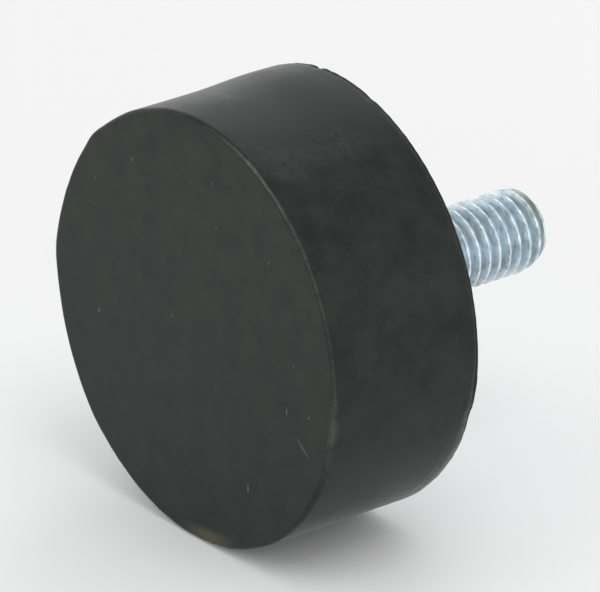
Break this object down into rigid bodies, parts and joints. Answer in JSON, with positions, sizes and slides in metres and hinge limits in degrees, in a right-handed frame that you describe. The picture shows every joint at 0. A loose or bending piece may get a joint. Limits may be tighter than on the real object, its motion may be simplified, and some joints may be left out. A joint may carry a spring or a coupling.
{
  "type": "rubber bump stop",
  "caption": "Round solid rubber puck bonded to a hidden steel plate, with a threaded steel stud that screws it down; its flat face takes the knock of a door, lid or slide.",
  "frame": {"origin": "centre of the working face of the rubber, which the stop stands on", "axes": "+Z along the axis of the stop, from the working face towards the tip of the stud"},
  "size_m": [0.05, 0.05, 0.048],
  "materials": {
    "moulded_rubber": "matte black moulded rubber, slightly dusty",
    "zinc_plate": "zinc-plated blanked steel, satin",
    "zinc_stud": "bright bluish zinc-plated steel, rolled thread"
  },
  "bodies": {
    "root": {"rubber_body": "moulded_rubber", "backing_plate": "zinc_plate", "threaded_stud": "zinc_stud"}
  },
  "joints": []
}
